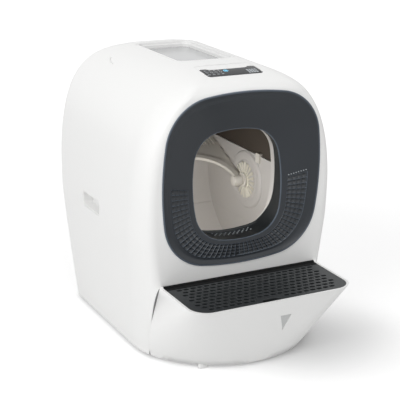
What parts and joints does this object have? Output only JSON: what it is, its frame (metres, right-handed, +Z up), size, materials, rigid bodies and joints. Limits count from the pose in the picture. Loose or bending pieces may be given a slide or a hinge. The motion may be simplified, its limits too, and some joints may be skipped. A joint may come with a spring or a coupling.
{
  "type": "self-cleaning litter box",
  "caption": "Upright rounded litter box: dished front entrance, round tub with a turning comb scoop and brushes, waste drawer under a hinged perforated step, lift-off top tray.",
  "frame": {"origin": "on the floor, under the middle of the bounding box of the whole object with its drawer shut", "axes": "+Z up, the entrance and the step face -Y, +X is the right side seen from the front"},
  "size_m": [0.464, 0.654, 0.601],
  "materials": {
    "shell_white": "satin moulded",
    "bezel_grey": "satin moulded",
    "throat_dark": "fine matt",
    "tub_cream": "satin moulded",
    "hood_taupe": "satin moulded",
    "comb_cream": "satin moulded",
    "brush_cream": "bristle",
    "panel_black": "polished",
    "mat_grey": "smooth",
    "foot_rubber": "matt",
    "steel": "turned",
    "pan_grey": "matt moulded",
    "bush_white": "turned",
    "bin_grey": "matt moulded",
    "board_green": "satin",
    "inlet_black": "matt",
    "filter_grey": "matt moulded",
    "cell_aluminium": "milled"
  },
  "bodies": {
    "base": {"base_pan": "pan_grey", "rubber_feet": "foot_rubber", "load_cells": "cell_aluminium", "housing_shell": "shell_white", "rear_panel": "shell_white", "power_inlet": "inlet_black", "case_screws": "steel", "grip_cup_left": "shell_white", "grip_cup_right": "shell_white", "bezel_ring": "bezel_grey", "throat_collar": "throat_dark", "tub_tray": "tub_cream", "tub_wall": "tub_cream", "chamber_hood": "hood_taupe", "hood_latches": "comb_cream", "hub_bosses": "tub_cream", "cradle_left": "pan_grey", "cradle_right": "pan_grey", "shaft_bushes": "bush_white", "waste_chute": "pan_grey", "drawer_rails": "pan_grey", "main_board": "board_green", "touch_board": "board_green", "panel_lens": "panel_black", "odour_filter": "filter_grey", "entry_sensors": "inlet_black", "gear_motor": "steel", "motor_bracket": "pan_grey"},
    "scoop": {"scoop_comb": "comb_cream", "scoop_hubs": "comb_cream", "hub_brushes": "brush_cream", "drive_shaft": "steel", "idle_shaft": "steel", "drive_gear": "bush_white"},
    "pinion_wheel": {"pinion": "bush_white"},
    "drawer": {"drawer_shell": "shell_white", "waste_bin": "bin_grey", "bag_frame": "bin_grey", "drawer_skid": "foot_rubber", "tread_hinge_pins": "steel"},
    "tread": {"tread_plate": "bezel_grey"},
    "tray": {"top_tray": "shell_white", "tray_mat": "mat_grey"}
  },
  "joints": [
    {"name": "scoop_spin", "type": "hinge", "parent": "base", "child": "scoop", "pos_m": [0, 0.085, 0.29], "axis": [1, 0, 0], "continuous": true},
    {"name": "pinion_spin", "type": "hinge", "parent": "base", "child": "pinion_wheel", "pos_m": [0.175, 0.11905, 0.22318], "axis": [1, 0, 0], "continuous": true},
    {"name": "drawer_slide", "type": "slide", "parent": "base", "child": "drawer", "axis": [0, -1, 0], "range_m": [0, 0.3]},
    {"name": "tread_hinge", "type": "hinge", "parent": "drawer", "child": "tread", "pos_m": [0, -0.1712, 0.1715], "axis": [-1, 0, 0], "range_deg": [0, 85]},
    {"name": "tray_lift", "type": "slide", "parent": "base", "child": "tray", "axis": [0, 0, 1], "range_m": [0, 0.08]}
  ],
  "couplings": [
    {"joint": "pinion_spin", "follows": "scoop_spin", "ratio": -4}
  ]
}
